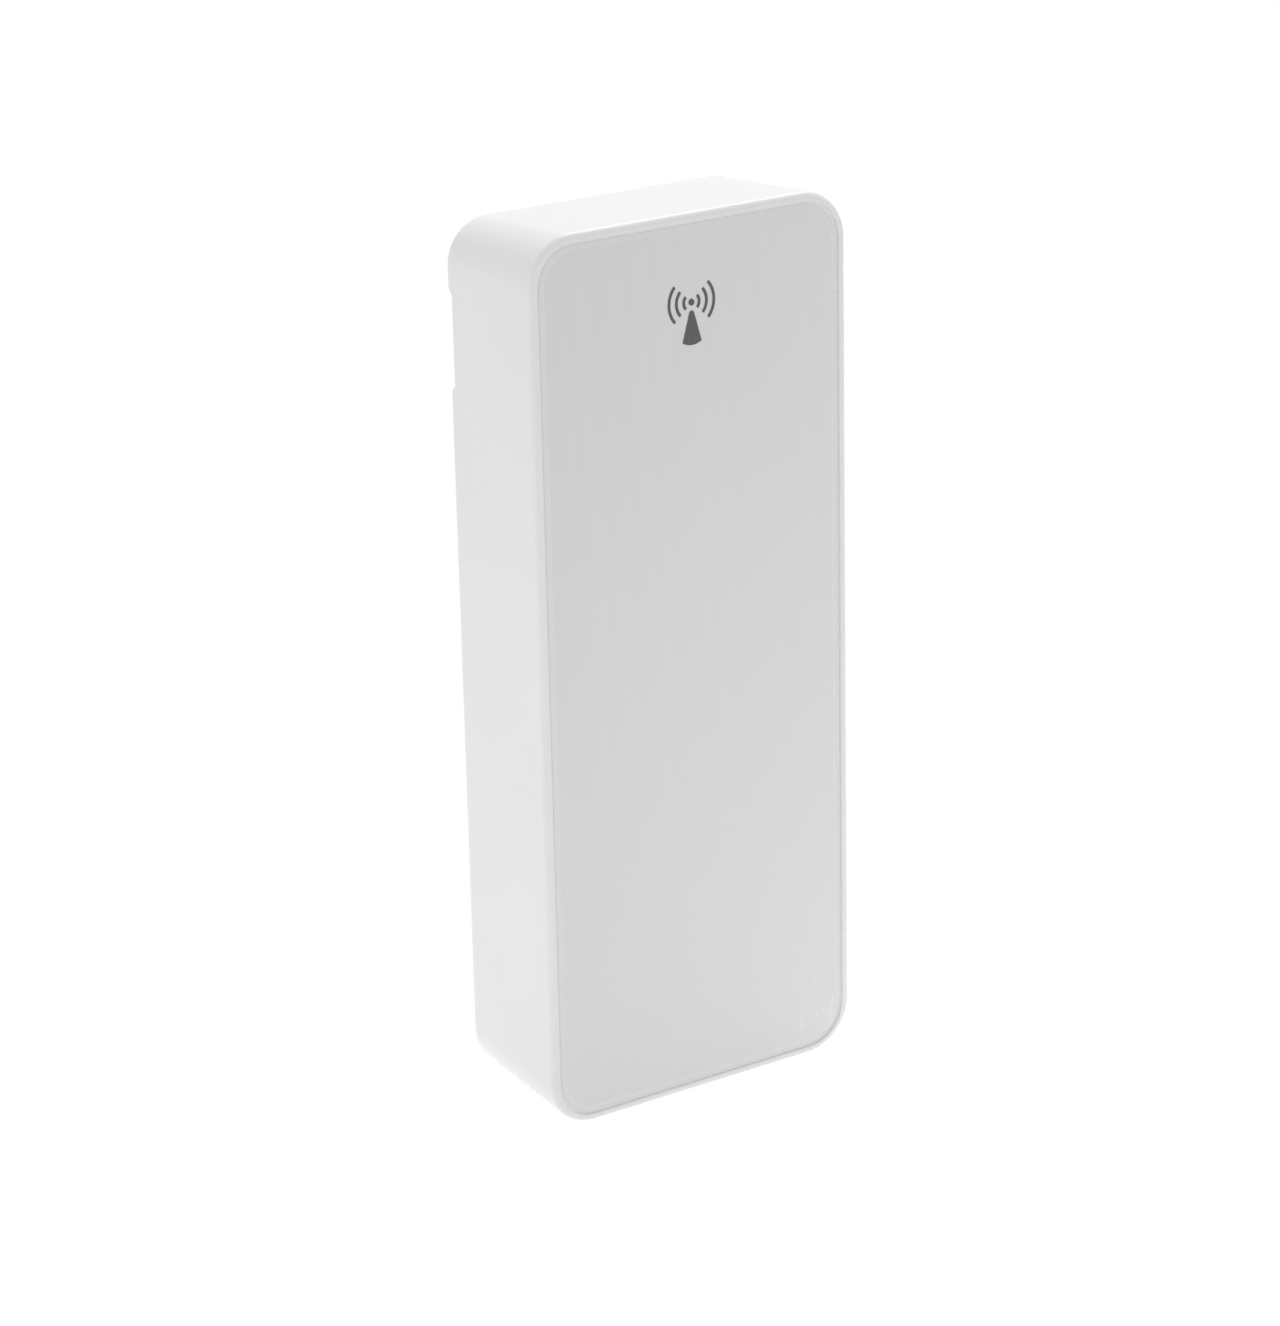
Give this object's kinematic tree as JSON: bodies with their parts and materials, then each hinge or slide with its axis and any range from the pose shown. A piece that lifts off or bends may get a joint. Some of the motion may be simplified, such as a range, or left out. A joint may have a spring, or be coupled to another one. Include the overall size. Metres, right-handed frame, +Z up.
{
  "type": "wireless temperature sensor",
  "caption": "Upright white remote temperature sensor with a flat silver front panel, a hanging channel, and a sliding door over its cells and controls.",
  "frame": {"origin": "middle of the base, on the plane that the feet stand on", "axes": "+Z up along the height, +X to the right of someone who faces the panel, -Y out of the front panel, +Y towards the wall"},
  "size_m": [0.0404, 0.0178, 0.1],
  "materials": {
    "white_housing": "fine satin",
    "silver_panel": "smooth satin lens",
    "adhesive_sheet": "matt",
    "dark_print": "printed ink",
    "white_cover": "fine satin",
    "cell_wrap": "printed wrap on a steel can",
    "contact_steel": "nickel plated",
    "board_green": "solder mask",
    "chip_black": "moulded",
    "tin_can": "tinned",
    "gold_lid": "plated",
    "antenna_copper": "drawn wire",
    "bead_black": "dipped resin",
    "capacitor_can": "drawn",
    "chip_parts": "fired",
    "led_red": "tinted clear",
    "switch_grey": "moulded",
    "control_black": "moulded",
    "screw_steel": "zinc plated"
  },
  "bodies": {
    "sensor_body": {"front_housing": "white_housing", "front_panel": "silver_panel", "panel_adhesive": "adhesive_sheet", "panel_pictogram": "dark_print", "rear_cover": "white_cover", "battery_left": "cell_wrap", "battery_right": "cell_wrap", "positive_contact": "contact_steel", "negative_contact": "contact_steel", "bridge_contact": "contact_steel", "circuit_board": "board_green", "controller_chip": "chip_black", "radio_shield": "tin_can", "resonator": "gold_lid", "crystal_can": "tin_can", "antenna_coil": "antenna_copper", "thermistor": "bead_black", "capacitor": "capacitor_can", "chip_components": "chip_parts", "indicator_led": "led_red", "transmit_switch": "switch_grey", "channel_switch": "tin_can", "cover_screws": "screw_steel", "board_screws": "screw_steel"},
    "battery_door": {"battery_door": "white_cover"},
    "transmit_button": {"transmit_button": "control_black"},
    "channel_knob": {"channel_knob": "control_black"}
  },
  "joints": [
    {"name": "door_slide", "type": "slide", "parent": "sensor_body", "child": "battery_door", "axis": [0, 0, -1], "range_m": [0, 0.072]},
    {"name": "button_press", "type": "slide", "parent": "sensor_body", "child": "transmit_button", "axis": [0, -1, 0], "range_m": [0, 0.0003], "stiffness_N_per_m": 400},
    {"name": "channel_slide", "type": "slide", "parent": "sensor_body", "child": "channel_knob", "axis": [1, 0, 0], "range_m": [-0.002, 0.002]}
  ]
}
